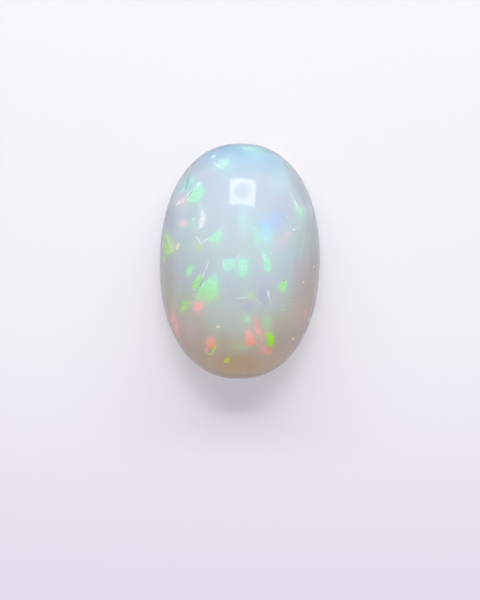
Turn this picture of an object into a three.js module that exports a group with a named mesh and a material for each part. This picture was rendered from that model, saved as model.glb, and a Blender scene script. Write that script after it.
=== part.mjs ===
// A polished oval opal cabochon lying on its flat back: one stone, one solid.
// Millimetres, +Z up through the dome, long axis along Y, origin at the middle of the flat back.
import * as THREE from 'three';
import { mergeVertices } from 'three/addons/utils/BufferGeometryUtils.js';

// The stone's overall size
const LENGTH = 16.2;
const WIDTH = 11.0;
const HEIGHT = 6.2;

// The oval is a little fuller at its shoulders than an ellipse, whose power is 2
const OUTLINE_POWER = 2.2;

// The back is flat, with a narrow bevel ground round its edge, and the girdle is a low wall above it
const BEVEL_INSET = 0.45;
const GIRDLE_LOW = 0.45;
const GIRDLE_HIGH = 0.8;

// The dome's profile is nearly an ellipse too, so it stands upright at the girdle and is round on top
const DOME_POWER = 2.1;

// How finely the smooth stone is cut into flat faces
const AROUND = 96;
const DOME_STEPS = 22;

const HALF_LENGTH = LENGTH / 2;
const HALF_WIDTH = WIDTH / 2;

// Profile from the middle of the back to the top of the dome: x is the share of the half width, y the height
function cabochonProfile() {
  const profile = [
    new THREE.Vector2(0, 0),
    new THREE.Vector2(1 - BEVEL_INSET / HALF_WIDTH, 0),
    new THREE.Vector2(1, GIRDLE_LOW),
    new THREE.Vector2(1, GIRDLE_HIGH),
  ];
  const rise = HEIGHT - GIRDLE_HIGH;
  for (let step = 1; step < DOME_STEPS; step += 1) {
    const angle = (step / DOME_STEPS) * (Math.PI / 2);
    const share = Math.cos(angle) ** (2 / DOME_POWER);
    const height = GIRDLE_HIGH + rise * Math.sin(angle) ** (2 / DOME_POWER);
    profile.push(new THREE.Vector2(share, height));
  }
  profile.push(new THREE.Vector2(0, HEIGHT));
  return profile;
}

// Distance from the middle to an oval's edge in one direction
function ovalRadius(angle, halfWidth, halfLength) {
  const across = (Math.abs(Math.cos(angle)) / halfWidth) ** OUTLINE_POWER;
  const along = (Math.abs(Math.sin(angle)) / halfLength) ** OUTLINE_POWER;
  return 1 / (across + along) ** (1 / OUTLINE_POWER);
}

// The dome shrinks in proportion towards its top, and the bevel is equally wide all round
function halfAxes(share, height) {
  if (height >= GIRDLE_LOW) {
    return [HALF_WIDTH * share, HALF_LENGTH * share];
  }
  const inset = HALF_WIDTH * (1 - share);
  return [HALF_WIDTH - inset, HALF_LENGTH - inset];
}

// A round lathe turning of the profile, each ring of which is then drawn out to the oval
function cabochonGeometry() {
  const turning = new THREE.LatheGeometry(cabochonProfile(), AROUND);
  turning.rotateX(Math.PI / 2);
  turning.deleteAttribute('normal');
  turning.deleteAttribute('uv');
  const solid = mergeVertices(turning, 1e-6);
  const place = solid.attributes.position;
  for (let i = 0; i < place.count; i += 1) {
    const share = Math.hypot(place.getX(i), place.getY(i));
    if (share < 1e-6) {
      continue;
    }
    const angle = Math.atan2(place.getY(i), place.getX(i));
    const [halfWidth, halfLength] = halfAxes(share, place.getZ(i));
    const radius = ovalRadius(angle, halfWidth, halfLength);
    place.setX(i, radius * Math.cos(angle));
    place.setY(i, radius * Math.sin(angle));
  }
  solid.computeVertexNormals();
  return solid;
}

const polishedOpal = new THREE.MeshStandardMaterial({
  color: '#bccbd3',
  roughness: 0.06,
  metalness: 0,
});

const cabochon = new THREE.Mesh(cabochonGeometry(), polishedOpal);
cabochon.name = 'opal_cabochon';

const opal = new THREE.Group();
opal.add(cabochon);

export default opal;
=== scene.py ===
"""A polished oval opal cabochon with its play of colour, lying on its flat back on a pale floor.

It is laid out as a Blender add-on and run as a script. The stone is one piece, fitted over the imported
model's node. The lists of hazes, flakes and slivers give places and sizes in millimetres as seen from
above: x across the stone, y towards its bluer end. All of Blender's own lengths are in metres.
"""

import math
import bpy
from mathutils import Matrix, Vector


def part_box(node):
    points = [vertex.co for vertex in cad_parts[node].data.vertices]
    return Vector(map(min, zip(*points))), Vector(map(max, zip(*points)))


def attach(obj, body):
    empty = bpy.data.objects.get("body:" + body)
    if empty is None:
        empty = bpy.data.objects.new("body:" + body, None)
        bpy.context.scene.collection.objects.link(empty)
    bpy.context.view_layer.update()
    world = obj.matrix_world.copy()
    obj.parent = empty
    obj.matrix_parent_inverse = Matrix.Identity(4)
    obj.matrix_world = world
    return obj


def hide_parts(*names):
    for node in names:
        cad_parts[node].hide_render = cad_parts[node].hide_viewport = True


bl_info = {
    "name": "Opal Cabochon",
    "version": (1, 0, 0),
    "blender": (4, 5, 0),
    "location": "View3D > Sidebar > Opal",
    "description": "Models a polished oval opal with its play of colour, and a plain studio round it",
    "category": "Add Mesh",
}

from typing import NamedTuple

import bpy
from bpy.props import FloatProperty, FloatVectorProperty, IntProperty, PointerProperty
from mathutils import Euler, Vector

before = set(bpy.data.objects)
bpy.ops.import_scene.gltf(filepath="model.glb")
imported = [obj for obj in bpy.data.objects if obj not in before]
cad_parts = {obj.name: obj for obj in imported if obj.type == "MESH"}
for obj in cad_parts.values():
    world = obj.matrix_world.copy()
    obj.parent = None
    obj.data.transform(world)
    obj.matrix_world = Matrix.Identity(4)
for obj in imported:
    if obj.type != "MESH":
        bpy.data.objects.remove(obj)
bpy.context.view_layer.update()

NODE = "opal_cabochon"
STONE_NAME = "polished_opal_stone"
LOW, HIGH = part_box(NODE)
HALF_WIDTH = (HIGH.x - LOW.x) / 2
HALF_LENGTH = (HIGH.y - LOW.y) / 2
MM = 0.001
PER_METRE = 1000
# A length in millimetres too small to see
UNSEEN = 1e-7
# How near a vertex counts as at a height or on the axis, and how near two vertices are merged
NEAR = 1e-6
TOUCHING = 1e-7

# The photograph's frame, in pixels, and where the stone lies in it
PICTURE_WIDTH_PX = 480
PICTURE_HEIGHT_PX = 600
STONE_MIDDLE_PX = (239.8, 261.1)
STONE_LENGTH_PX = 235.7

# Sockets of a colour Mix node, which has more than one socket of each name
MIX_FACTOR = 0
MIX_A = 6
MIX_B = 7
MIX_RESULT = 2

# For a MapRange node that eases in and out
SOFT = {"interpolation_type": "SMOOTHSTEP"}

# Kinds of socket
VECTOR = "NodeSocketVector"
NUMBER = "NodeSocketFloat"
COLOUR = "NodeSocketColor"

# The unevenness of the marks' edges: how often it comes per millimetre, and how far it reaches
RIPPLES_PER_MM = 2.2
RIPPLE_SWING_MM = 0.22
# The bands of milk bend towards the blue end at both sides, by this times the square of x
BAND_BEND = 0.11
# Clouds in the milk, which shift its bands to and fro
CLOUDS_PER_MM = 0.45
CLOUD_SWING_MM = 1.6
# Veils and silk streaks, which are finer one way than another
VEILS_PER_MM = (1.0, 0.22, 0.6)
SILK_PER_MM = (2.6, 5.0, 3.0)
SILK_TURN = math.radians(-66)
# Painted shade low on the flanks, and the height by which it goes up and down
RIM_SHADE_CLOUDS_PER_MM = 0.8
RIM_SHADE_SWING_MM = 1.6
# Small flakes on the flanks and back
FLANK_FLAKES_PER_MM = 1.0
FLANK_RIPPLES_PER_MM = 1.5
FLANK_SWING_MM = 1.2
# Lapping marks on the ground back, drawn out along the stone. Real ones are too fine to show, so these
# are coarser.
LAPPING_PER_MM = (14.0, 0.7, 14.0)
LAPPING_DEPTH = 0.006 * MM

# The floor lies this far below the stone's back, so that the two don't share a plane
FLOOR_GAP = 0.02 * MM
FLOOR_SIZE = 1.6
SENSOR_HEIGHT_MM = 36.0


class Oval(NamedTuple):
    """A haze or sliver: hue, middle, length, width, and the turn of its length from the x axis.

    A sliver may bend sideways by a share of its half width.
    """

    hue: str
    x: float
    y: float
    length: float
    width: float
    turn: float
    strength: float
    bend: float = 0.0


class Flake(NamedTuple):
    """A flake with straight edges, whose hue turns into its far hue along its run.

    The run is an angle from the x axis. Each corner gives x, y and how softly the edge that leaves it ends.
    """

    hue: str
    far_hue: str
    run: float
    strength: float
    corners: tuple


# The stone's milk from its bottom end to its blue end: y in millimetres and hue. It is partly the milk's
# own colour and partly painted light: bluer at the end towards the lamps behind, warmer where light that
# crosses the stone comes out at the far end.
BODY = (
    (-8.0, "rim_brown"),
    (-6.8, "amber_milk"),
    (-5.0, "olive_milk"),
    (-3.4, "grey_milk"),
    (-1.6, "dove_milk"),
    (0.6, "mist_milk"),
    (2.8, "aqua_milk"),
    (5.2, "pale_milk"),
    (6.8, "sky_milk"),
    (8.0, "blue_milk"),
)

# Soft clouds of colour, thickest in their middle
HAZES = [Oval(*row) for row in (
    ("blue_milk", -1.7, 7.2, 3.6, 1.4, 24, 0.7),
    ("sky", 0.2, 7.0, 3.0, 1.2, 0, 0.15),
    ("teal", 1.3, 7.4, 2.4, 0.8, -18, 0.5),
    ("aqua", 2.6, 5.6, 1.6, 2.4, 0, 0.35),
    ("blue_milk", 2.1, 6.6, 2.6, 1.6, -25, 0.4),
    ("steel", 4.0, 5.1, 2.8, 1.0, -62, 0.6),
    ("steel", 4.9, 2.4, 2.6, 1.0, -80, 0.4),
    ("ash", 5.1, -0.3, 6.0, 1.8, 90, 0.65),
    ("ash", -5.1, -0.9, 5.0, 1.6, 90, 0.5),
    ("rose_grey", -0.9, -5.0, 0.8, 0.5, 40, 0.35),
    ("lilac_grey", -2.2, 5.6, 1.6, 1.4, 0, 0.35),
    ("teal_grey", -3.3, 3.1, 1.6, 1.6, 0, 0.5),
    ("lilac_grey", -4.6, 3.0, 1.2, 2.6, 10, 0.5),
    ("steel", -4.9, 2.9, 1.0, 3.0, 5, 0.5),
    ("teal", -3.8, 5.2, 1.0, 1.5, -30, 0.5),
    ("steel", -3.0, 6.3, 1.6, 0.9, 45, 0.35),
    ("aqua", 0.2, 2.9, 0.9, 2.6, 0, 0.5),
    ("lilac_grey", 3.0, 3.6, 2.0, 2.4, 0, 0.5),
    ("periwinkle", 2.3, 2.65, 1.6, 1.2, 35, 0.65),
    ("mint", -3.2, 2.4, 0.7, 1.0, 10, 0.3),
    ("pink", -3.87, 2.45, 0.62, 0.56, 0, 0.7),
    ("orchid", 3.25, 1.85, 0.55, 0.5, 40, 0.6),
    ("orchid", 2.95, 1.4, 0.9, 0.6, 40, 0.45),
    ("sage", 4.3, 1.4, 1.4, 3.2, 0, 0.5),
    ("teal", 3.1, 0.3, 2.0, 1.0, 20, 0.22),
    ("yellow_green", -2.88, 0.88, 0.9, 1.0, 0, 0.55),
    ("teal_grey", -3.6, 0.6, 1.4, 1.4, 0, 0.4),
    ("lilac_grey", 2.6, -1.3, 1.6, 1.6, 0, 0.4),
    ("violet", 1.6, -2.4, 0.7, 1.3, 12, 0.55),
    ("violet", 0.6, -3.15, 0.8, 0.9, 0, 0.5),
    ("leaf", 1.95, -4.2, 0.7, 1.2, 10, 0.5),
    ("yellow_green", 0.0, -5.9, 1.4, 0.8, 0, 0.35),
    ("rose_grey", -3.3, -4.9, 2.6, 3.4, 40, 0.35),
    ("rose_grey", 4.3, -2.9, 1.8, 2.6, 0, 0.6),
    ("rose_grey", 4.5, -1.2, 1.9, 3.0, 0, 0.5),
    ("grey_milk", -0.3, -4.5, 3.4, 1.8, 0, 0.5),
    ("rose_grey", 3.3, -4.9, 2.6, 3.2, -40, 0.45),
    # Partly painted light: this warm haze at the far end stands for light that crosses the stone and comes
    # out there
    ("amber", -0.1, -7.2, 5.2, 1.7, 0, 0.6),
    ("rose_grey", 4.65, -3.5, 0.6, 0.8, 0, 0.5),
    ("orchid", -3.4, -4.7, 1.8, 2.2, 30, 0.22),
    ("rose_pale", 4.2, -3.6, 1.4, 2.4, 0, 0.15),
    ("orchid", 2.6, 1.1, 1.0, 1.0, 0, 0.12),
    ("pale_mint", 3.9, 2.25, 0.4, 0.3, 0, 0.4),
)]

# The play of colour itself: crystals in the opal, seen as flakes with straight edges
FLAKES = [Flake(*row) for row in (
    ("pale_mint", "mint", -30, 0.8, (
        (-1.9, 6.8, 0.12), (-1.45, 6.85, 0.15), (-1.15, 7.15, 0.14), (-0.85, 7.1, 0.14),
        (-0.85, 6.4, 0.15), (-1.25, 6.1, 0.12), (-1.7, 6.3, 0.12),
    )),
    ("mint", "teal", 0, 1.0, (
        (-0.15, 7.9, 0.1), (1.05, 7.8, 0.2), (0.85, 7.4, 0.2), (0.25, 7.5, 0.12),
    )),
    ("teal", "teal", 0, 0.75, (
        (-3.6, 5.8, 0.1), (-3.15, 5.75, 0.2), (-3.05, 5.3, 0.25), (-3.55, 4.7, 0.12),
        (-3.95, 5.2, 0.15),
    )),
    ("spring", "mint", 55, 1.0, (
        (-2.9, 5.25, 0.05), (-2.6, 5.2, 0.08), (-2.45, 4.65, 0.08), (-2.6, 4.25, 0.1),
        (-3.05, 3.9, 0.07), (-3.6, 3.9, 0.05), (-3.65, 4.15, 0.05), (-3.4, 4.65, 0.05),
    )),
    ("pink", "pink", 0, 1.0, (
        (-4.25, 4.0, 0.1), (-3.9, 4.25, 0.08), (-3.7, 4.1, 0.08), (-3.85, 3.8, 0.1), (-4.2, 3.78, 0.1),
    )),
    ("frost", "frost", 0, 0.75, (
        (-2.65, 3.55, 0.08), (-2.36, 2.85, 0.05), (-2.5, 2.25, 0.05), (-2.8, 2.05, 0.06),
        (-2.78, 2.7, 0.12),
    )),
    ("mint", "spring", -60, 0.9, (
        (-2.1, 1.45, 0.05), (-1.6, 1.9, 0.06), (-1.3, 2.1, 0.1), (-1.25, 1.55, 0.15),
        (-1.55, 1.2, 0.15), (-2.0, 1.27, 0.08),
    )),
    ("yellow_green", "lime", -80, 1.0, (
        (-5.05, 1.95, 0.06), (-4.65, 1.5, 0.12), (-4.5, 0.6, 0.1), (-4.75, 0.3, 0.06),
        (-5.1, 0.3, 0.06), (-5.3, 1.1, 0.06),
    )),
    ("sand", "straw", 0, 0.7, (
        (-4.6, 1.3, 0.08), (-4.4, 0.95, 0.1), (-4.5, 0.45, 0.08), (-4.62, 0.6, 0.06),
    )),
    ("leaf", "spring", -60, 0.95, (
        (-3.25, -0.25, 0.05), (-3.1, -0.45, 0.06), (-3.2, -0.8, 0.06), (-3.4, -1.1, 0.05),
        (-3.6, -1.1, 0.05), (-3.6, -0.7, 0.05),
    )),
    ("leaf", "leaf_deep", -60, 1.0, (
        (-2.7, -1.0, 0.05), (-2.55, -1.15, 0.05), (-2.62, -1.5, 0.05), (-2.87, -1.85, 0.06),
        (-3.2, -1.87, 0.05), (-3.05, -1.5, 0.05),
    )),
    ("leaf", "leaf", 0, 0.75, (
        (-2.75, -1.95, 0.1), (-1.5, -1.6, 0.12), (-1.52, -2.5, 0.12), (-2.0, -2.85, 0.2),
        (-2.95, -2.75, 0.14),
    )),
    ("leaf", "mint", 50, 0.9, (
        (-2.55, -1.55, 0.07), (-2.05, -1.25, 0.08), (-1.6, -0.8, 0.06), (-1.45, -1.3, 0.1),
        (-1.5, -2.1, 0.3), (-2.6, -2.05, 0.14),
    )),
    ("mint", "mint", 0, 0.75, (
        (-1.15, 0.05, 0.06), (-0.3, 0.12, 0.2), (-0.27, -0.45, 0.2), (-0.67, -0.75, 0.2),
        (-1.05, -0.72, 0.1),
    )),
    ("mint", "spring", -90, 0.85, (
        (-0.13, -0.15, 0.1), (0.0, 0.13, 0.1), (0.55, 0.08, 0.15), (0.53, -0.9, 0.1),
        (0.28, -1.18, 0.08), (-0.03, -1.07, 0.1),
    )),
    ("sky", "aqua", -80, 0.95, (
        (1.35, 2.5, 0.25), (2.0, 2.55, 0.25), (2.25, 1.9, 0.25), (2.15, 1.25, 0.18), (1.7, 1.1, 0.2),
        (1.3, 1.8, 0.25),
    )),
    ("mint", "spring", -60, 0.5, (
        (0.7, 2.35, 0.3), (1.1, 2.3, 0.25), (1.5, 1.5, 0.2), (1.4, 1.1, 0.2), (1.0, 1.2, 0.3),
    )),
    ("mint", "spring", -70, 0.8, (
        (1.47, 0.55, 0.1), (1.75, 0.55, 0.12), (2.15, -0.1, 0.12), (2.05, -0.75, 0.08),
        (1.66, -0.75, 0.07), (1.6, -0.15, 0.06),
    )),
    ("pale_mint", "spring", -60, 0.9, (
        (3.57, 4.2, 0.05), (3.85, 3.95, 0.06), (4.2, 3.55, 0.08), (4.3, 3.15, 0.08), (4.1, 3.0, 0.1),
        (3.75, 3.5, 0.06),
    )),
    ("leaf", "leaf", 0, 0.95, (
        (3.2, -1.25, 0.05), (3.26, -1.45, 0.05), (3.12, -2.05, 0.06), (2.92, -2.1, 0.06),
        (2.6, -1.78, 0.08), (2.88, -1.42, 0.06),
    )),
    ("lime", "leaf_deep", -30, 0.95, (
        (-3.55, -2.75, 0.06), (-3.38, -2.95, 0.08), (-3.5, -3.35, 0.06), (-3.95, -3.6, 0.05),
        (-3.97, -3.3, 0.05), (-3.8, -2.9, 0.06),
    )),
    ("coral_pale", "coral_pale", 0, 0.95, (
        (-3.1, -3.0, 0.12), (-2.85, -2.8, 0.12), (-2.42, -2.85, 0.14), (-2.4, -3.25, 0.14),
        (-2.8, -3.58, 0.12), (-3.1, -3.4, 0.12),
    )),
    ("rose", "rose", 0, 1.0, (
        (-4.55, -3.5, 0.08), (-4.28, -3.9, 0.1), (-4.12, -4.5, 0.1), (-4.1, -5.2, 0.08),
        (-4.4, -4.8, 0.05), (-4.65, -4.1, 0.05),
    )),
    ("coral_pale", "orange", -75, 1.0, (
        (-2.1, -5.3, 0.08), (-1.82, -5.2, 0.08), (-1.55, -5.4, 0.07), (-1.52, -5.95, 0.07),
        (-2.0, -6.0, 0.06), (-2.22, -5.68, 0.07),
    )),
    ("yellow_green", "yellow_green", 0, 0.6, (
        (0.5, -2.18, 0.12), (1.02, -2.12, 0.12), (0.98, -2.55, 0.12), (0.58, -2.6, 0.12),
    )),
    ("spring", "spring", 0, 0.6, (
        (0.4, -3.7, 0.12), (0.75, -3.75, 0.12), (0.8, -4.0, 0.12), (0.55, -4.2, 0.12),
        (0.35, -4.05, 0.12),
    )),
    ("rose_pale", "rose_pale", 0, 0.8, (
        (0.94, -3.88, 0.1), (1.48, -3.88, 0.12), (1.6, -4.6, 0.1), (1.88, -5.3, 0.08),
        (1.58, -5.45, 0.08), (1.15, -4.85, 0.07),
    )),
    ("coral_pale", "coral_pale", 0, 0.75, (
        (1.2, -4.6, 0.05), (1.45, -4.58, 0.05), (1.45, -4.85, 0.06), (1.25, -4.9, 0.06),
    )),
    ("coral_pale", "coral", -75, 0.9, (
        (0.45, -4.72, 0.12), (0.85, -4.72, 0.1), (1.1, -5.2, 0.06), (1.26, -5.66, 0.05),
        (0.5, -5.72, 0.05),
    )),
    ("rose", "rose", 0, 0.5, (
        (1.42, -5.75, 0.14), (1.93, -5.72, 0.08), (2.0, -6.3, 0.08), (1.6, -6.2, 0.14),
    )),
    ("coral", "orange", -60, 0.8, (
        (1.95, -5.9, 0.06), (2.2, -5.9, 0.06), (2.3, -6.0, 0.05), (2.28, -6.32, 0.05),
        (2.05, -6.35, 0.05), (1.95, -6.1, 0.08),
    )),
    ("vivid", "vivid", 0, 1.0, (
        (1.95, -4.9, 0.05), (2.2, -4.84, 0.05), (2.37, -5.1, 0.05), (2.46, -5.43, 0.05),
        (2.3, -5.8, 0.05), (2.07, -5.73, 0.05), (1.93, -5.3, 0.05),
    )),
    ("straw", "olive", -60, 1.0, (
        (1.8, -4.92, 0.05), (2.0, -4.85, 0.05), (1.97, -5.1, 0.05),
    )),
)]

# Thin lenses of colour, pointed at both ends. The frost ones are partly pale streaks in the stone and
# partly painted glints, and the green and blue shade ones are painted shade beside the flakes and along the
# rim.
SLIVERS = [Oval(*row) for row in (
    ("frost", -1.9, 7.08, 0.52, 0.24, 38, 0.6),
    ("frost", -1.85, 6.6, 0.4, 0.14, -40, 0.4),
    ("frost", -1.6, 6.4, 0.4, 0.14, -25, 0.45),
    ("pale_mint", -1.25, 6.52, 0.35, 0.25, 10, 0.6),
    ("mint", -3.93, 4.75, 0.6, 0.2, 48, 0.9),
    ("frost", -2.87, 5.15, 0.45, 0.16, 40, 0.8),
    ("frost", -3.55, 4.5, 0.85, 0.09, 55, 0.55),
    ("shade_green", -3.4, 4.52, 0.6, 0.08, 56, 0.8),
    ("shade_green", -3.66, 5.3, 1.4, 0.1, 78, 0.65, 0.3),
    ("frost", -4.26, 3.84, 0.42, 0.24, 40, 0.85),
    ("pale_mint", -3.3, 5.45, 0.55, 0.24, 60, 0.5),
    ("pale_mint", -3.76, 4.68, 0.5, 0.1, 12, 0.4),
    ("frost", -3.18, 2.72, 0.28, 0.2, 80, 0.7),
    ("pale_mint", -2.32, 1.3, 0.95, 0.1, 35, 0.85),
    ("frost", -2.81, 1.32, 0.8, 0.12, -55, 0.55),
    ("shade_green", -5.0, 1.15, 0.7, 0.06, -80, 0.5),
    ("lime", -4.95, 0.8, 1.0, 0.18, -86, 0.6),
    ("frost", -4.92, 1.4, 0.8, 0.1, -68, 0.6),
    ("pale_mint", -4.78, 1.0, 0.8, 0.09, -80, 0.6),
    ("straw", -4.6, 0.8, 0.8, 0.16, -84, 0.8),
    ("sand", -4.22, 0.9, 0.66, 0.24, 62, 0.95),
    ("lime", -5.12, 0.05, 0.45, 0.16, 80, 0.8),
    ("shade_green", -2.57, -1.6, 0.6, 0.07, 62, 0.8),
    ("pale_mint", -2.85, -1.3, 0.5, 0.06, 62, 0.8),
    ("frost", -3.05, -1.98, 0.35, 0.08, 10, 0.5),
    ("frost", -2.23, -0.45, 0.95, 0.1, 68, 0.5),
    ("frost", -2.43, -1.05, 0.55, 0.1, 76, 0.6),
    ("pale_mint", -2.4, -1.62, 0.4, 0.1, 60, 0.6),
    ("pale_mint", -1.1, -0.25, 0.65, 0.08, 88, 0.6),
    ("frost", 0.16, -0.4, 0.14, 0.12, 0, 0.9),
    ("frost", -0.17, 0.22, 0.55, 0.08, 62, 0.5),
    ("frost", 1.63, 0.2, 0.75, 0.1, -66, 0.6),
    ("frost", 1.95, -0.62, 0.2, 0.14, 0, 0.5),
    ("frost", 2.08, 0.55, 0.16, 0.1, 60, 0.5),
    ("frost", 3.45, 4.55, 0.4, 0.1, -55, 0.4),
    ("frost", 3.72, 3.95, 0.7, 0.08, -62, 0.7),
    ("teal", 2.87, 4.8, 0.6, 0.22, -75, 0.55),
    ("frost", 2.87, 5.93, 0.2, 0.14, 0, 0.3),
    ("shade_green", 3.0, 6.55, 0.8, 0.1, -42, 0.7),
    ("mint", 3.17, 6.6, 0.65, 0.24, -42, 1.0),
    ("shade_blue", 4.05, 5.25, 1.6, 0.06, -62, 0.4),
    ("frost", 3.63, 2.17, 0.2, 0.14, 60, 0.8),
    ("frost", 3.4, 2.3, 0.16, 0.12, 0, 0.5),
    ("frost", 3.15, 3.05, 0.2, 0.12, 60, 0.4),
    ("frost", 3.15, -1.36, 0.16, 0.1, 40, 0.7),
    ("shade_green", 3.05, -1.3, 0.18, 0.07, 30, 0.6),
    ("frost", 5.08, -0.3, 0.2, 0.14, 80, 0.45),
    ("frost", 4.35, -1.4, 0.26, 0.13, -60, 0.5),
    ("straw", 3.47, -2.6, 0.2, 0.1, 50, 0.7),
    ("straw", 3.42, -2.86, 0.16, 0.1, 0, 0.6),
    ("frost", 2.98, -3.28, 0.14, 0.12, 0, 0.6),
    ("straw", 3.73, -5.25, 0.32, 0.22, 20, 0.7),
    ("frost", 4.25, 1.2, 2.6, 0.12, 84, 0.09, -0.8),
    ("frost", 4.62, -0.2, 2.8, 0.1, 92, 0.08, -0.8),
    ("frost", 3.7, 0.7, 1.8, 0.1, 78, 0.07, -0.6),
    ("frost", 3.98, 4.3, 2.2, 0.07, -64, 0.16, 0.6),
    ("shade_blue", 4.3, 4.2, 2.4, 0.08, -66, 0.4, 0.6),
    ("frost", 3.02, -6.2, 0.14, 0.12, 0, 0.5),
    ("straw", 1.95, -6.42, 0.12, 0.1, 0, 0.5),
    ("sand", -1.4, -4.52, 0.38, 0.24, 5, 0.95),
    ("straw", -3.72, -3.22, 0.8, 0.09, 50, 0.6),
    ("straw", -3.3, -2.95, 0.25, 0.18, 30, 0.5),
    ("shade_green", -3.12, -2.6, 0.12, 0.1, 0, 0.7),
    ("pale_mint", 0.2, -2.52, 1.0, 0.1, 6, 0.55, -1.0),
    ("pale_mint", 1.35, -2.82, 0.9, 0.07, -32, 0.4),
    ("frost", 1.96, -2.2, 0.55, 0.11, -80, 0.75),
    ("frost", 2.1, -2.72, 0.7, 0.08, -70, 0.5),
    ("olive", -1.56, -5.88, 0.55, 0.2, 62, 0.5),
    ("coral_pale", -2.15, -6.1, 0.6, 0.22, 80, 0.6),
    ("shade_olive", -1.9, -6.2, 0.2, 0.14, 60, 0.5),
    ("leaf_deep", -1.68, -6.15, 0.55, 0.24, 62, 0.7),
    ("olive", -1.92, -6.4, 0.42, 0.2, 0, 0.6),
    ("olive", -0.76, -6.84, 0.6, 0.3, 18, 0.85),
    ("olive", -0.68, -6.76, 0.55, 0.24, 75, 0.85),
    ("shade_olive", -0.7, -6.82, 0.2, 0.1, 40, 0.7),
    ("leaf_deep", 2.22, -5.3, 0.7, 0.08, -78, 0.4),
    ("shade_olive", 2.12, -6.1, 0.18, 0.09, 30, 0.35),
    ("rose_pale", 4.52, -3.5, 0.7, 0.36, 78, 0.5),
    ("sand", 4.9, -3.85, 0.55, 0.18, 65, 0.9),
)]


def srgb(hex_colour):
    """A #rrggbb colour as linear red, green and blue."""
    channels = (int(hex_colour[i : i + 2], 16) / 255 for i in (1, 3, 5))
    return tuple(c / 12.92 if c <= 0.04045 else ((c + 0.055) / 1.055) ** 2.4 for c in channels)


def hue(name, description, hex_colour):
    """A colour that a user can change."""
    return FloatVectorProperty(
        name=name, description=description, subtype="COLOR", min=0, max=1, default=srgb(hex_colour)
    )


def length(name, description, metres):
    """A length that a user can change."""
    return FloatProperty(name=name, description=description, default=metres, unit="LENGTH")


def watts(name, description, power):
    """A lamp's power that a user can change."""
    return FloatProperty(name=name, description=description, default=power, unit="POWER")


def spot(name, description, metres):
    """The middle of a lamp, which a user can move."""
    return FloatVectorProperty(name=name, description=description, default=metres, unit="LENGTH")


class StoneShape(bpy.types.PropertyGroup):
    """The stone's form, within the size that its node gives."""

    outline_power: FloatProperty(
        name="Outline fullness", description="2 is an ellipse, and more is fuller at the shoulders",
        default=2.2,
    )
    dome_power: FloatProperty(name="Dome fullness", description="2 is a round dome", default=2.1)
    girdle_low: length("Girdle low", "Height of the girdle's lower edge", 0.45 * MM)
    girdle_high: length("Girdle high", "Height at which the dome starts", 0.8 * MM)
    back_bevel: length("Back bevel", "Width of the bevel round the back", 0.45 * MM)
    worn_edge: length("Worn edge", "Roundness of the ground edges", 0.06 * MM)
    around: IntProperty(name="Steps around", description="Faces round the oval", default=192)
    rings: IntProperty(name="Rings", description="Rings of the sphere the dome starts from", default=128)


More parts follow.
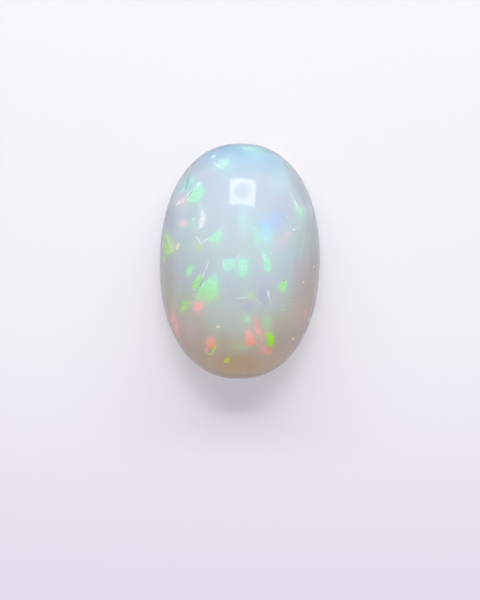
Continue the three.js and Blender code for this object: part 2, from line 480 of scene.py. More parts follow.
class OpalColours(bpy.types.PropertyGroup):
    """The stone's milk and the hues of its play of colour."""

    # The milk's hues from blue to brown are partly painted light: bluer towards the lamps behind, warmer at
    # the far end
    blue_milk: hue("Blue milk", "The blue end of the stone", "#99c3df")
    sky_milk: hue("Sky milk", "Just in from the blue end", "#b3d0e3")
    pale_milk: hue("Pale milk", "The bright shoulder", "#c4d3df")
    aqua_milk: hue("Aqua milk", "Above the middle", "#c3d1dd")
    mist_milk: hue("Mist milk", "The middle", "#c1d1d7")
    dove_milk: hue("Dove milk", "Below the middle", "#bbc8d1")
    grey_milk: hue("Grey milk", "Between the middle and the warm end", "#bdc5c6")
    olive_milk: hue("Olive milk", "Where the warm end starts", "#bec1b1")
    amber_milk: hue("Amber milk", "The warm end", "#bfac9b")
    rim_brown: hue("Rim brown", "The very edge of the warm end", "#c8b39e")
    pearl: hue("Pearl", "Veils in the milk", "#dde8ee")
    # Painted shade: the colour that darkens the flanks, for the thin dark line round the outline
    painted_rim_shade: hue("Potch", "What the grey common opal low on the flanks lets through", "#a2a1a4")
    # Partly painted light: frost is pale streaks in the stone and painted glints on edges that catch the
    # light
    frost: hue("Frost", "Cracks and edges that catch the light", "#eef7fb")
    pale_mint: hue("Pale mint", "Washed-out green", "#d2f3e8")
    mint: hue("Mint", "Blue-green flakes", "#b7f2e0")
    spring: hue("Spring green", "Green flakes", "#b2f4c8")
    leaf: hue("Leaf green", "Yellower green flakes", "#aeeeaa")
    leaf_deep: hue("Deep leaf", "The heart of a green flake", "#a4ec88")
    lime: hue("Lime", "Yellow-green flakes", "#b8e88c")
    yellow_green: hue("Yellow-green", "Faded yellow-green", "#c2e0ac")
    vivid: hue("Vivid green", "The brightest flake", "#a8f03c")
    sand: hue("Sand", "Pale tan streaks", "#e9e5cd")
    orchid: hue("Orchid", "Pale violet-pink haze", "#eccfe0")
    straw: hue("Straw", "Pale yellow specks", "#e2e4b8")
    olive: hue("Olive", "Dull yellow specks", "#d2dc55")
    teal: hue("Teal", "Blue-green haze", "#aadfe0")
    aqua: hue("Aqua", "Pale blue-green haze", "#c4e8ee")
    sky: hue("Sky", "Blue flakes", "#acd8f6")
    periwinkle: hue("Periwinkle", "Violet-blue haze", "#b8cbf4")
    violet: hue("Violet", "Dull violet haze", "#aeb4d6")
    lilac_grey: hue("Lilac grey", "Greyed violet haze", "#c3cbdd")
    steel: hue("Steel", "Greyed blue at the flanks", "#a9b6c6")
    ash: hue("Ash", "Neutral grey along the flanks", "#b3aea6")
    teal_grey: hue("Teal grey", "Greyed blue-green haze", "#b9d4d2")
    sage: hue("Sage", "Greyed green haze", "#b4c4bb")
    rose_grey: hue("Rose grey", "Greyed pink haze", "#bba9a5")
    amber: hue("Amber", "Warm haze", "#bf9f6e")
    pink: hue("Pink", "Pale pink spots", "#fbdbe6")
    rose: hue("Rose", "Deeper pink flakes", "#ffbaba")
    rose_pale: hue("Pale rose", "Veiled pink flakes", "#ecb6ae")
    coral: hue("Coral", "The reddest flakes", "#ffa39a")
    coral_pale: hue("Pale coral", "Veiled coral flakes", "#ffc2be")
    orange: hue("Orange", "Orange edges", "#f6ac74")
    # Painted shade: the green and blue shade lines beside the flakes and along the rim at the blue end
    shade_green: hue("Green shade", "Dark lines beside green flakes", "#7fa89a")
    shade_blue: hue("Blue shade", "Dark lines at the blue end", "#94a9c2")
    shade_olive: hue("Olive shade", "Dark spots at the warm end", "#949046")


class StageSetup(bpy.types.PropertyGroup):
    """The studio: floor, lights and camera."""

    floor_light: hue("Floor", "The floor towards the top of the picture", "#c7c4cd")
    # Painted shade: the floor's deeper tone towards the bottom of the picture
    floor_lavender: hue("Floor lavender", "The floor towards the bottom of the picture", "#bfb9ca")
    sky_top: hue("Sky overhead", "The light from above", "#fdfbff")
    sky_side: hue("Sky at the sides", "The light from the horizon", "#e6e2ea")
    sky_strength: FloatProperty(name="Sky strength", description="How bright the walls are", default=0.2)
    key_tint: hue("Key tint", "Colour of the softbox", "#fffafb")
    key_power: watts("Key power", "Power of the softbox", 0.48)
    key_middle: FloatProperty(
        name="Key middle", description="How bright its middle is, as a share of its rim", default=0.4
    )
    key_width: length("Key width", "Width of the softbox", 0.18)
    key_height: length("Key height", "Height of the softbox", 0.148)
    key_place: spot("Key place", "Middle of the softbox", (0.0117, 0.2376, 0.1946))
    strip_tint: hue("Strip tint", "Colour of the strip light", "#ebffe1")
    strip_power: watts("Strip power", "Power of the strip light below the softbox", 1.2)
    strip_width: length("Strip width", "Width of the strip light", 0.56)
    strip_height: length("Strip height", "Height of the strip light", 0.06)
    strip_place: spot("Strip place", "Middle of the strip light", (0.0, 0.252, 0.163))
    back_tint: hue("Back lamp tint", "Colour of the lamp above the softbox", "#fde7ff")
    back_power: watts("Back lamp power", "Power of the lamp above the softbox", 0.34)
    back_size: length("Back lamp size", "Width of the lamp above the softbox", 0.18)
    back_depth: length("Back lamp depth", "Height of the lamp above the softbox", 0.03)
    back_place: spot("Back lamp place", "Middle of the lamp above the softbox", (0.0, 0.2046, 0.2194))
    fill_power: watts("Fill power", "Power of the light overhead", 2.72)
    fill_size: length("Fill size", "Width of the light overhead", 0.34)
    fill_height: length("Fill height", "Height of the light overhead", 0.6)
    camera_height: length("Camera height", "How far the camera is above the floor", 0.25)
    camera_roll: FloatProperty(
        name="Camera roll", description="Turn about the line of sight", default=math.radians(1.0),
        unit="ROTATION",
    )


def empty_tree(owner):
    """The node tree of a material, world or lamp, with nothing in it."""
    owner.use_nodes = True
    owner.node_tree.nodes.clear()
    return owner.node_tree


def add_node(tree, kind, inputs=None, **settings):
    """Adds one node with its settings, values and links. A node as an input stands for its first output."""
    new = tree.nodes.new(kind if kind.startswith("Node") else "ShaderNode" + kind)
    for name, value in settings.items():
        setattr(new, name, value)
    for key, value in (inputs or {}).items():
        if isinstance(value, bpy.types.Node):
            value = value.outputs[0]
        if isinstance(value, bpy.types.NodeSocket):
            tree.links.new(value, new.inputs[key])
        else:
            new.inputs[key].default_value = value
    return new


def opaque(colour):
    """A colour property as the four numbers that a colour socket takes."""
    return (*colour, 1.0)


def set_stops(ramp, colours, stops):
    """Gives a colour ramp its stops, each a place and a hue. It already has those at 0 and 1."""
    elements = ramp.color_ramp.elements
    for position, name in stops:
        stop = elements.new(position) if 0 < position < 1 else elements[-1 if position else 0]
        stop.position = position
        stop.color = opaque(getattr(colours, name))


def start_group(name, inputs):
    """An empty node group that takes the stone's colour so far, and gives it back with one mark more."""
    group = bpy.data.node_groups.new(name, "ShaderNodeTree")
    kinds = {"Stone": COLOUR, "Strength": NUMBER, "Grain": NUMBER, "Plan": VECTOR, **inputs}
    for socket, kind in kinds.items():
        group.interface.new_socket(name=socket, in_out="INPUT", socket_type=kind)
    group.interface.new_socket(name="Stone", in_out="OUTPUT", socket_type=COLOUR)
    return group, add_node(group, "NodeGroupInput").outputs


def start_oval_group(name, extra):
    """The start of a haze's or sliver's group, with coordinates that reach 1 where its oval ends."""
    ovals = {"Middle": VECTOR, "Turn": VECTOR, "Half size": VECTOR, **extra, "Colour": COLOUR}
    group, given = start_group(name, ovals)
    local = add_node(
        group, "Mapping",
        {"Vector": given["Plan"], "Location": given["Middle"], "Rotation": given["Turn"],
         "Scale": given["Half size"]},
        vector_type="TEXTURE",
    )
    return group, given, local


def end_group(group, given, cover, colour):
    """Lays a colour over the stone where cover is 1, and closes the group."""
    amount = add_node(group, "Math", {0: cover, 1: given["Strength"]}, operation="MULTIPLY")
    grained = add_node(group, "Math", {0: amount, 1: given["Grain"]}, operation="MULTIPLY")
    mix = add_node(
        group, "Mix", {MIX_FACTOR: grained, MIX_A: given["Stone"], MIX_B: colour}, data_type="RGBA"
    )
    add_node(group, "NodeGroupOutput", {0: mix.outputs[MIX_RESULT]})
    return group


def make_haze_group():
    """A soft oval cloud, thickest in its middle."""
    group, given, local = start_oval_group("opal haze", {})
    away = add_node(group, "VectorMath", {0: local}, operation="LENGTH")
    # It fades out half as far again from its middle as its own oval reaches
    cover = add_node(
        group, "MapRange",
        {"Value": away.outputs["Value"], "From Max": 1.5, "To Min": 1.0, "To Max": 0.0},
        **SOFT
    )
    return end_group(group, given, cover, given["Colour"])


def make_sliver_group():
    """A thin lens pointed at both ends, which may bend like a bow."""
    group, given, local = start_oval_group("opal sliver", {"Bend": NUMBER})
    x, y = (
        add_node(group, "VectorMath", {0: local, 1: axis}, operation="DOT_PRODUCT").outputs["Value"]
        for axis in ((1.0, 0.0, 0.0), (0.0, 1.0, 0.0))
    )
    along = add_node(group, "Math", {0: x, 1: x}, operation="MULTIPLY")
    bent = add_node(group, "Math", {0: along, 1: given["Bend"], 2: y}, operation="MULTIPLY_ADD")
    aside = add_node(group, "Math", {0: bent}, operation="ABSOLUTE")
    lens = add_node(group, "Math", {0: aside, 1: along}, operation="ADD")
    # The lens's outline is where this is 1, and its edge is soft to either side of that
    cover = add_node(
        group, "MapRange",
        {"Value": lens, "From Min": 0.35, "From Max": 1.3, "To Min": 1.0, "To Max": 0.0},
        **SOFT
    )
    return end_group(group, given, cover, given["Colour"])


def make_flake_group(corners):
    """A flake bounded by straight edges, whose colour changes from one side to the other."""
    edges = {f"Edge {number + 1}": VECTOR for number in range(corners)}
    group, given = start_group(
        f"opal flake with {corners} edges", {**edges, "Run": VECTOR, "Colour": COLOUR, "Far colour": COLOUR}
    )
    reach = None
    for edge in edges:
        past = add_node(group, "VectorMath", {0: given["Plan"], 1: given[edge]}, operation="DOT_PRODUCT")
        past = past.outputs["Value"]
        reach = past if reach is None else add_node(group, "Math", {0: reach, 1: past}, operation="MAXIMUM")
    whole = add_node(
        group, "MapRange",
        {"Value": reach, "From Min": -1.0, "From Max": 1.0, "To Min": 1.0, "To Max": 0.0},
        **SOFT
    )
    # Painted glow: the milk round a flake takes on a little of its light
    glow = add_node(
        group, "MapRange",
        {"Value": reach, "From Min": -1.0, "From Max": 5.0, "To Min": 0.3, "To Max": 0.0},
        **SOFT
    )
    cover = add_node(group, "Math", {0: whole, 1: glow}, operation="MAXIMUM")
    across = add_node(group, "VectorMath", {0: given["Plan"], 1: given["Run"]}, operation="DOT_PRODUCT")
    colour = add_node(
        group, "Mix",
        {MIX_FACTOR: across.outputs["Value"], MIX_A: given["Colour"], MIX_B: given["Far colour"]},
        data_type="RGBA",
    )
    return end_group(group, given, cover, colour.outputs[MIX_RESULT])


def oval_inputs(mark):
    """The place, turn and half size of a haze or sliver, in the plan's own terms."""
    return {
        "Middle": (mark.x, mark.y, 1.0),
        "Turn": (0.0, 0.0, math.radians(mark.turn)),
        "Half size": (mark.length / 2, mark.width / 2, 1.0),
        "Strength": mark.strength,
    }


def flake_inputs(flake):
    """Each edge as a plane that is 0 on the edge, -1 where the flake is whole and 1 where it has ended."""
    points = [Vector(corner[:2]) for corner in flake.corners]
    area = sum(a.cross(b) for a, b in zip(points, points[1:] + points[:1]))
    side = 1 if area > 0 else -1
    inputs = {"Strength": flake.strength}
    for number, corner in enumerate(flake.corners):
        start = points[number]
        along = (points[(number + 1) % len(points)] - start).normalized()
        outward = Vector((along.y, -along.x)) * side / corner[2]
        inputs[f"Edge {number + 1}"] = (outward.x, outward.y, -outward.dot(start))
    heading = Vector((math.cos(math.radians(flake.run)), math.sin(math.radians(flake.run))))
    reaches = [heading.dot(point) for point in points]
    near, far = min(reaches), max(reaches)
    scaled = heading / (far - near)
    inputs["Run"] = (scaled.x, scaled.y, -near / (far - near))
    return inputs


def add_measures(tree):
    """The surface's place in millimetres: the point itself, its place along the stone, and its height."""
    place = add_node(tree, "TexCoord").outputs["Object"]
    point = add_node(tree, "VectorMath", {0: place, "Scale": PER_METRE}, operation="SCALE")
    parts = add_node(tree, "SeparateXYZ", {0: point})
    return point, parts.outputs["Y"], parts.outputs["Z"]


def add_plan(tree, point):
    """The plan that the marks are drawn on, a little uneven so that no edge is ruled."""
    ripple = add_node(
        tree, "TexNoise", {"Vector": point, "Scale": RIPPLES_PER_MM, "Detail": 5.0, "Roughness": 0.6}
    )
    centred = add_node(
        tree, "VectorMath", {0: ripple.outputs["Color"], 1: (0.5, 0.5, 0.5)}, operation="SUBTRACT"
    )
    swing = (RIPPLE_SWING_MM, RIPPLE_SWING_MM, 0.0)
    uneven = add_node(tree, "VectorMath", {0: centred, 1: swing, 2: point}, operation="MULTIPLY_ADD")
    parts = add_node(tree, "SeparateXYZ", {0: uneven})
    return add_node(tree, "CombineXYZ", {"X": parts.outputs["X"], "Y": parts.outputs["Y"], "Z": 1.0})


def add_body(tree, colours, plan, point):
    """The milk, partly its own colour and partly painted light: scattering leaves the end towards the light
    blue, and warm light reaches the other.
    """
    parts = add_node(tree, "SeparateXYZ", {0: plan})
    x, y = parts.outputs["X"], parts.outputs["Y"]
    x_squared = add_node(tree, "Math", {0: x, 1: x}, operation="MULTIPLY")
    level = add_node(tree, "Math", {0: x_squared, 1: -BAND_BEND, 2: y}, operation="MULTIPLY_ADD")
    clouds = add_node(tree, "TexNoise", {"Vector": point, "Scale": CLOUDS_PER_MM, "Detail": 2.0})
    drift = add_node(tree, "Math", {0: clouds, 1: CLOUD_SWING_MM, 2: level}, operation="MULTIPLY_ADD")
    low, high = BODY[0][0], BODY[-1][0]
    # The clouds alone lift the level by half their swing on average
    lift = CLOUD_SWING_MM / 2
    share = add_node(tree, "MapRange", {"Value": drift, "From Min": low + lift, "From Max": high + lift})
    ramp = add_node(tree, "ValToRGB", {0: share})
    set_stops(ramp, colours, [((y - low) / (high - low), name) for y, name in BODY])
    return ramp


def add_veils(tree, colours, point, stone):
    """Faint pale veils that hang through the milk along the stone, in sheets of uneven depth."""
    long_ways = add_node(tree, "VectorMath", {0: point, 1: VEILS_PER_MM}, operation="MULTIPLY")
    sheets = add_node(
        tree, "TexNoise", {"Vector": long_ways, "Scale": 1.0, "Detail": 3.0, "Distortion": 0.4}
    )
    amount = add_node(
        tree, "MapRange", {"Value": sheets, "From Min": 0.45, "From Max": 0.7, "To Max": 0.09}
    )
    veiled = add_node(
        tree, "Mix", {MIX_FACTOR: amount, MIX_A: stone, MIX_B: opaque(colours.pearl)}, data_type="RGBA"
    )
    return veiled.outputs[MIX_RESULT]


def add_streaks(tree, point):
    """How strongly a flake shows from place to place: opal's flakes are streaked like brushed silk."""
    turned = add_node(
        tree, "Mapping", {"Vector": point, "Rotation": (0.0, 0.0, SILK_TURN), "Scale": SILK_PER_MM}
    )
    silk = add_node(tree, "TexNoise", {"Vector": turned, "Scale": 1.0, "Detail": 5.0})
    return add_node(
        tree, "MapRange", {"Value": silk, "From Min": 0.38, "From Max": 0.58, "To Min": 0.65}
    )


def wait_for(tree, plan, stone):
    """The same plan, but worked out after the stone so far.

    The renderer's stack can't hold every mark at once.
    """
    return add_node(
        tree, "VectorMath", {0: stone, 1: (UNSEEN, UNSEEN, 0.0), 2: plan}, operation="MULTIPLY_ADD"
    )


def add_marks(tree, colours, plan, stone, marks, group):
    """Lays each haze or sliver over the stone in turn."""
    for mark in marks:
        inputs = oval_inputs(mark)
        inputs.update(
            {"Stone": stone, "Plan": wait_for(tree, plan, stone), "Grain": 1.0,
             "Colour": opaque(getattr(colours, mark.hue))}
        )
        if mark.bend:
            inputs["Bend"] = mark.bend
        stone = add_node(tree, "Group", inputs, node_tree=group).outputs["Stone"]
    return stone


def add_flakes(tree, colours, plan, stone, grain):
    """Lays each straight-edged flake over the stone in turn."""
    groups = {}
    for flake in FLAKES:
        corners = len(flake.corners)
        if corners not in groups:
            groups[corners] = make_flake_group(corners)
        inputs = flake_inputs(flake)
        inputs.update(
            {"Stone": stone, "Plan": wait_for(tree, plan, stone), "Grain": grain,
             "Colour": opaque(getattr(colours, flake.hue)),
             "Far colour": opaque(getattr(colours, flake.far_hue))}
        )
        stone = add_node(tree, "Group", inputs, node_tree=groups[corners]).outputs["Stone"]
    return stone


def add_painted_rim_shade(tree, colours, point, level, height, stone):
    """Painted shade low on the flanks, which darkens the stone's colour there and from above gives the
    outline its thin dark line.
    """
    place = wait_for(tree, point, stone)
    clouds = add_node(tree, "TexNoise", {"Vector": place, "Scale": RIM_SHADE_CLOUDS_PER_MM, "Detail": 4.0})
    uneven = add_node(tree, "Math", {0: clouds, 1: RIM_SHADE_SWING_MM, 2: height}, operation="MULTIPLY_ADD")
    depth = add_node(
        tree, "MapRange",
        {"Value": uneven, "From Min": 1.8, "From Max": 3.3, "To Min": 1.0, "To Max": 0.0},
        **SOFT
    )
    # The painted shade thins out towards the warm end, where the light that crosses the stone comes out
    # again
    end = add_node(
        tree, "MapRange", {"Value": level, "From Min": -7.0, "From Max": -2.0, "To Min": 0.1}
    )
    amount = add_node(tree, "Math", {0: depth, 1: end}, operation="MULTIPLY")
    return add_node(
        tree, "Mix", {MIX_FACTOR: amount, MIX_A: stone, MIX_B: opaque(colours.painted_rim_shade)},
        data_type="RGBA", blend_type="MULTIPLY",
    ).outputs[MIX_RESULT]


def add_flank_flakes(tree, colours, point, height, stone):
    """Small flakes all round the flanks, girdle and back, which the camera above doesn't see."""
    place = wait_for(tree, point, stone)
    ripple = add_node(tree, "TexNoise", {"Vector": place, "Scale": FLANK_RIPPLES_PER_MM, "Detail": 3.0})
    swing = (FLANK_SWING_MM, FLANK_SWING_MM, FLANK_SWING_MM)
    bent = add_node(
        tree, "VectorMath", {0: ripple.outputs["Color"], 1: swing, 2: place}, operation="MULTIPLY_ADD"
    )
    crystals = {"Vector": bent, "Scale": FLANK_FLAKES_PER_MM}
    cells = add_node(tree, "TexVoronoi", crystals)
    edges = add_node(tree, "TexVoronoi", crystals, feature="DISTANCE_TO_EDGE")
    chance = add_node(tree, "SeparateColor", {0: cells.outputs["Color"]})
    # About one crystal in four shows its colour
    shown = add_node(tree, "MapRange", {"Value": chance.outputs["Red"], "From Min": 0.76, "From Max": 0.8})
    inside = add_node(
        tree, "MapRange", {"Value": edges.outputs["Distance"], "From Min": 0.02, "From Max": 0.12},
        **SOFT
    )
    below = add_node(
        tree, "MapRange", {"Value": height, "From Min": 1.0, "From Max": 1.6, "To Min": 0.85, "To Max": 0.0}
    )
    shape = add_node(tree, "Math", {0: shown, 1: inside}, operation="MULTIPLY")
    cover = add_node(tree, "Math", {0: shape, 1: below}, operation="MULTIPLY")
    ramp = add_node(tree, "ValToRGB", {0: chance.outputs["Green"]})
    hues = ("mint", "spring", "leaf", "lime", "rose_pale", "coral")
    set_stops(ramp, colours, [(number / (len(hues) - 1), name) for number, name in enumerate(hues)])
    return add_node(
        tree, "Mix", {MIX_FACTOR: cover, MIX_A: stone, MIX_B: ramp}, data_type="RGBA"
    ).outputs[MIX_RESULT]


def add_satin(tree, point, height):
    """The girdle and back are ground, not polished: a satin skin with fine lapping marks along it."""
    ground = add_node(
        tree, "MapRange",
        {"Value": height, "From Min": 0.78, "From Max": 1.0, "To Min": 0.42, "To Max": 0.05},
        **SOFT
    )
    drawn_out = add_node(tree, "VectorMath", {0: point, 1: LAPPING_PER_MM}, operation="MULTIPLY")
    marks = add_node(tree, "TexNoise", {"Vector": drawn_out, "Scale": 1.0, "Detail": 2.0})
    low = add_node(
        tree, "MapRange", {"Value": height, "From Min": 0.5, "From Max": 0.9, "To Min": 1.0, "To Max": 0.0}
    )
    lapped = add_node(tree, "Math", {0: marks, 1: low}, operation="MULTIPLY")
    relief = add_node(tree, "Bump", {"Height": lapped, "Strength": 0.5, "Distance": LAPPING_DEPTH})
    return ground, relief


def make_polished_opal(colours):
    """Precious opal, cut and polished: milky, smooth as glass, with flakes of colour under the skin."""
    material = bpy.data.materials.new("polished_precious_opal")
    tree = empty_tree(material)
    point, level, height = add_measures(tree)
    plan = add_plan(tree, point)
    grain = add_streaks(tree, point)
    stone = add_body(tree, colours, plan, point)
    stone = add_veils(tree, colours, point, stone)
    stone = add_marks(tree, colours, plan, stone, HAZES, make_haze_group())
    stone = add_flakes(tree, colours, plan, stone, grain)
    stone = add_marks(tree, colours, plan, stone, SLIVERS, make_sliver_group())
    stone = add_painted_rim_shade(tree, colours, point, level, height, stone)
    stone = add_flank_flakes(tree, colours, point, height, stone)
    roughness, relief = add_satin(tree, point, height)
    shader = add_node(
        tree, "BsdfPrincipled",
        {"Base Color": stone, "Roughness": roughness, "Normal": relief, "IOR": 1.45,
         "Subsurface Weight": 0.7, "Subsurface Radius": (1.0, 0.9, 0.8), "Subsurface Scale": 1.5 * MM},
    )
    add_node(tree, "OutputMaterial", {"Surface": shader})
    return material


def select_edges(mesh_object, test):
    """Selects, in edit mode, just the edges whose middle passes a test."""
    bpy.ops.mesh.select_mode(type="EDGE")
    bpy.ops.mesh.select_all(action="DESELECT")
    bpy.ops.object.mode_set(mode="OBJECT")
    vertices = mesh_object.data.vertices
    for edge in mesh_object.data.edges:
        start, end = edge.vertices
        edge.select = test((vertices[start].co + vertices[end].co) / 2)
    bpy.ops.object.mode_set(mode="EDIT")


def signed_power(value, power):
    """A power that keeps the sign of its value."""
    return math.copysign(abs(value) ** power, value)


def draw_out_dome(stone, shape):
    """Moves the half sphere's vertices out to the full oval and the full dome that the solid has."""
    rise = HIGH.z - shape.girdle_high
    for vertex in stone.data.vertices:
        x, y = vertex.co.x / HALF_WIDTH, vertex.co.y / HALF_LENGTH
        z = (vertex.co.z - shape.girdle_high) / rise
        across = math.hypot(x, y)
        level = max(z, 0.0) ** (2 / shape.dome_power)
        # Towards the top the ovals turn into ellipses, so that reflections there stay even
        roundness = 2 / (2 + (shape.outline_power - 2) * (1 - level))
        if across < NEAR:
            vertex.co = (0, 0, HIGH.z)
            continue
        share = across ** (2 / shape.dome_power)
        vertex.co.x = HALF_WIDTH * share * signed_power(x / across, roundness)
        vertex.co.y = HALF_LENGTH * share * signed_power(y / across, roundness)
        vertex.co.z = shape.girdle_high + rise * level


def shape_stone(shape):
    """Half a sphere is drawn out to the dome, and its edge pulled down into girdle, bevel and flat back."""
    bpy.ops.object.select_all(action="DESELECT")
    bpy.ops.mesh.primitive_uv_sphere_add(
        segments=shape.around, ring_count=shape.rings, radius=HALF_WIDTH, location=(0, 0, shape.girdle_high)
    )
    stone = bpy.context.object
    stone.name = STONE_NAME
    bpy.ops.object.transform_apply(location=True, rotation=True, scale=True)
    bpy.ops.object.mode_set(mode="EDIT")
    bpy.ops.mesh.select_all(action="SELECT")
    bpy.ops.mesh.bisect(
        plane_co=(0, 0, shape.girdle_high), plane_no=(0, 0, 1), clear_inner=True, threshold=TOUCHING
    )
    bpy.ops.mesh.select_all(action="SELECT")
    rise = HIGH.z - shape.girdle_high
    bpy.ops.transform.resize(
        value=(1, HALF_LENGTH / HALF_WIDTH, rise / HALF_WIDTH), center_override=(0, 0, shape.girdle_high)
    )
    bpy.ops.object.mode_set(mode="OBJECT")
    draw_out_dome(stone, shape)
    bpy.ops.object.mode_set(mode="EDIT")
    select_edges(stone, lambda middle: abs(middle.z - shape.girdle_high) < NEAR)
    girdle_drop = shape.girdle_low - shape.girdle_high
    bpy.ops.mesh.extrude_region_move(TRANSFORM_OT_translate={"value": (0, 0, girdle_drop)})
    bpy.ops.mesh.extrude_region_move(TRANSFORM_OT_translate={"value": (0, 0, -shape.girdle_low)})
    bpy.ops.transform.resize(
        value=(1 - shape.back_bevel / HALF_WIDTH, 1 - shape.back_bevel / HALF_LENGTH, 1),
        center_override=(0, 0, 0),
    )
    bpy.ops.mesh.edge_face_add()
    bpy.ops.mesh.select_mode(type="FACE")
    bpy.ops.mesh.inset(thickness=shape.back_bevel)
    bpy.ops.mesh.poke()
    bpy.ops.mesh.select_all(action="SELECT")
    bpy.ops.mesh.remove_doubles(threshold=TOUCHING)
    bpy.ops.mesh.normals_make_consistent(inside=False)
    bpy.ops.object.mode_set(mode="OBJECT")
    worn = stone.modifiers.new("Worn edges", "BEVEL")
    worn.width = shape.worn_edge
    worn.segments = 3
    worn.limit_method = "ANGLE"
    worn.angle_limit = math.radians(25)
    bpy.ops.object.modifier_apply(modifier=worn.name)
    bpy.ops.object.shade_smooth()
    return stone


class OPAL_OT_model_stone(bpy.types.Operator):
    """Models the opal over its solid, with its finish"""

    bl_idname = "opal.model_stone"
    bl_label = "Model the stone"

    def execute(self, context):
        stone = shape_stone(context.scene.opal_shape)
        stone.data.materials.append(make_polished_opal(context.scene.opal_colours))
        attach(stone, "root")
        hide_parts(NODE)
        return {"FINISHED"}


def make_floor_card(stage):
    """Matt lavender card, a little deeper in tone towards the bottom of the picture: painted shade for the
    light falling off away from the lamps behind.
    """
    material = bpy.data.materials.new("matt_lavender_card")
    tree = empty_tree(material)
    place = add_node(tree, "TexCoord").outputs["Object"]
    along = add_node(tree, "SeparateXYZ", {0: place}).outputs["Y"]
    share = add_node(
        tree, "MapRange", {"Value": along, "From Min": -2 * MM, "From Max": -26 * MM},
        **SOFT
    )
    colour = add_node(
        tree, "Mix",
        {MIX_FACTOR: share, MIX_A: opaque(stage.floor_light), MIX_B: opaque(stage.floor_lavender)},
        data_type="RGBA",
    )
    shader = add_node(
        tree, "BsdfPrincipled",
        {"Base Color": colour.outputs[MIX_RESULT], "Roughness": 0.6, "Specular IOR Level": 0.0},
    )
    add_node(tree, "OutputMaterial", {"Surface": shader})
    return material


def add_floor(stage):
    """A plain card, far larger than the picture shows."""
    bpy.ops.object.select_all(action="DESELECT")
    bpy.ops.mesh.primitive_plane_add(size=FLOOR_SIZE, location=(0, 0, -FLOOR_GAP))
    floor = bpy.context.object
    floor.name = "studio_floor"
    floor.data.materials.append(make_floor_card(stage))
    return floor


def add_sky(scene, stage):
    """Pale studio walls, brighter overhead."""
    world = bpy.data.worlds.new("pale_studio")
    tree = empty_tree(world)
    up = add_node(tree, "TexCoord").outputs["Generated"]
    height = add_node(tree, "SeparateXYZ", {0: up}).outputs["Z"]
    share = add_node(tree, "MapRange", {"Value": height, "From Max": 0.8})
    colour = add_node(
        tree, "Mix", {MIX_FACTOR: share, MIX_A: opaque(stage.sky_side), MIX_B: opaque(stage.sky_top)},
        data_type="RGBA",
    )
    background = add_node(
        tree, "Background", {"Color": colour.outputs[MIX_RESULT], "Strength": stage.sky_strength}
    )
    add_node(tree, "OutputWorld", {"Surface": background})
    scene.world = world


def add_lamp(name, shape, width, height, power, place, aim):
    """An area light that shines from a place towards a point, and isn't itself in the picture."""
    data = bpy.data.lights.new(name, "AREA")
    data.shape = shape
    data.size = width
    data.size_y = height
    data.energy = power
    lamp = bpy.data.objects.new(name, data)
    lamp.location = place
    lamp.rotation_euler = (Vector(aim) - Vector(place)).to_track_quat("-Z", "Y").to_euler()
    lamp.visible_camera = False
    bpy.context.scene.collection.objects.link(lamp)
    return lamp


def dim_middle(lamp, stage):
    """Dims the round middle of a softbox, where its deflector is, and rounds its corners off."""
    tree = empty_tree(lamp.data)
    # A lamp's parametric place runs from 0 to 1 across its face, both ways
    face = add_node(tree, "NewGeometry").outputs["Parametric"]
    deflector = (0.53, 0.52, 0.0)
    away = add_node(tree, "VectorMath", {0: face, 1: deflector}, operation="DISTANCE").outputs["Value"]
    ring = add_node(
        tree, "MapRange",
        {"Value": away, "From Min": 0.26, "From Max": 0.33, "To Min": stage.key_middle},
        **SOFT
    )
    corner = add_node(
        tree, "MapRange", {"Value": away, "From Min": 0.65, "From Max": 0.74, "To Min": 1.0, "To Max": 0.0},
        **SOFT
    )
    glow = add_node(tree, "Math", {0: ring, 1: corner}, operation="MULTIPLY")
    emission = add_node(tree, "Emission", {"Strength": glow})
    add_node(tree, "OutputLight", {"Surface": emission})


def only(name, thing):
    """A collection of one thing, for a lamp to light or to be shaded by."""
    collection = bpy.data.collections.new(name)
    collection.objects.link(thing)
    return collection


def add_lights(stage, stone, floor):
    """A softbox for the catchlight, two lamps beside it for the shadow, and soft light overhead."""
    dome_spot = Vector((0.1, 4.8, 5.25)) * MM
    floor_spot = (0, 0, 0)
    softbox = add_lamp(
        "softbox", "RECTANGLE", stage.key_width, stage.key_height, stage.key_power, stage.key_place,
        dome_spot,
    )
    softbox.data.color = stage.key_tint
    dim_middle(softbox, stage)
    strip = add_lamp(
        "strip light", "RECTANGLE", stage.strip_width, stage.strip_height, stage.strip_power,
        stage.strip_place, floor_spot,
    )
    back_lamp = add_lamp(
        "back lamp", "ELLIPSE", stage.back_size, stage.back_depth, stage.back_power, stage.back_place,
        floor_spot,
    )
    overhead = add_lamp(
        "overhead", "DISK", stage.fill_size, stage.fill_size, stage.fill_power, (0, 0, stage.fill_height),
        floor_spot,
    )
    # These two tints even out on the floor, and show only where the stone shades one of the lamps
    strip.data.color = stage.strip_tint
    back_lamp.data.color = stage.back_tint
    # The softbox lights the stone alone. The strip and the back lamp light the floor alone, and give the
    # shadow. The stone doesn't shade the light overhead, or a dark halo would ring it.
    softbox.light_linking.receiver_collection = only("lit by the softbox", stone)
    floor_only = only("lit by the shadow lamps", floor)
    for lamp in (strip, back_lamp):
        lamp.light_linking.receiver_collection = floor_only
    overhead.light_linking.blocker_collection = floor_only
    for lamp in (strip, back_lamp, overhead):
        lamp.visible_glossy = False


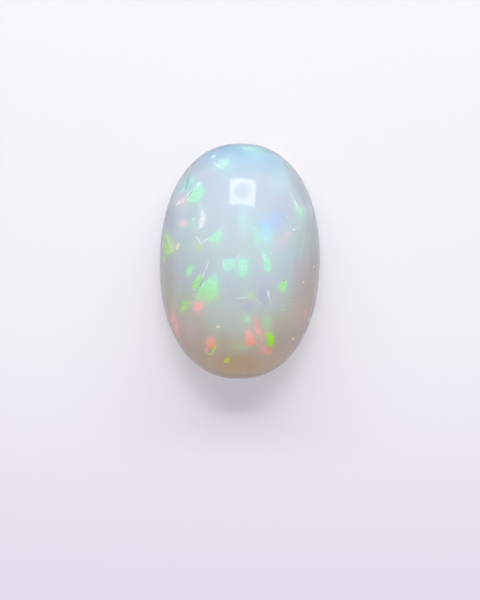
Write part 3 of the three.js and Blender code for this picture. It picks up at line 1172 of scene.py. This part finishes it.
def add_camera(scene, stage):
    """Looks straight down, so that the stone lies in the picture where the photograph has it."""
    per_px = (HIGH.y - LOW.y) / STONE_LENGTH_PX
    picture_height = PICTURE_HEIGHT_PX * per_px
    data = bpy.data.cameras.new("camera")
    data.sensor_fit = "VERTICAL"
    data.sensor_height = SENSOR_HEIGHT_MM
    data.lens = data.sensor_height * (stage.camera_height - scene.opal_shape.girdle_high) / picture_height
    camera = bpy.data.objects.new("camera", data)
    turn = Euler((0, 0, stage.camera_roll))
    across = (PICTURE_WIDTH_PX / 2 - STONE_MIDDLE_PX[0]) * per_px
    down = (PICTURE_HEIGHT_PX / 2 - STONE_MIDDLE_PX[1]) * per_px
    aside = Vector((across, -down, 0))
    aside.rotate(turn)
    camera.location = aside + Vector((0, 0, stage.camera_height))
    camera.rotation_euler = turn
    scene.collection.objects.link(camera)
    scene.camera = camera


class OPAL_OT_set_stage(bpy.types.Operator):
    """Sets up the floor, the light and the camera over the stone"""

    bl_idname = "opal.set_stage"
    bl_label = "Set the stage"

    def execute(self, context):
        scene = context.scene
        floor = add_floor(scene.opal_stage)
        add_sky(scene, scene.opal_stage)
        add_lights(scene.opal_stage, bpy.data.objects[STONE_NAME], floor)
        add_camera(scene, scene.opal_stage)
        scene.view_settings.view_transform = "Standard"
        return {"FINISHED"}


class OPAL_PT_sidebar(bpy.types.Panel):
    """Lists the steps that build the opal"""

    bl_idname = "OPAL_PT_sidebar"
    bl_label = "Opal cabochon"
    bl_space_type = "VIEW_3D"
    bl_region_type = "UI"
    bl_category = "Opal"

    def draw(self, context):
        self.layout.operator(OPAL_OT_model_stone.bl_idname)
        self.layout.operator(OPAL_OT_set_stage.bl_idname)


CLASSES = (StoneShape, OpalColours, StageSetup, OPAL_OT_model_stone, OPAL_OT_set_stage, OPAL_PT_sidebar)


def register():
    for each in CLASSES:
        bpy.utils.register_class(each)
    bpy.types.Scene.opal_shape = PointerProperty(type=StoneShape)
    bpy.types.Scene.opal_colours = PointerProperty(type=OpalColours)
    bpy.types.Scene.opal_stage = PointerProperty(type=StageSetup)


def unregister():
    del bpy.types.Scene.opal_stage
    del bpy.types.Scene.opal_colours
    del bpy.types.Scene.opal_shape
    for each in reversed(CLASSES):
        bpy.utils.unregister_class(each)


def main():
    register()
    bpy.ops.opal.model_stone()
    bpy.ops.opal.set_stage()


if __name__ == "__main__":
    main()
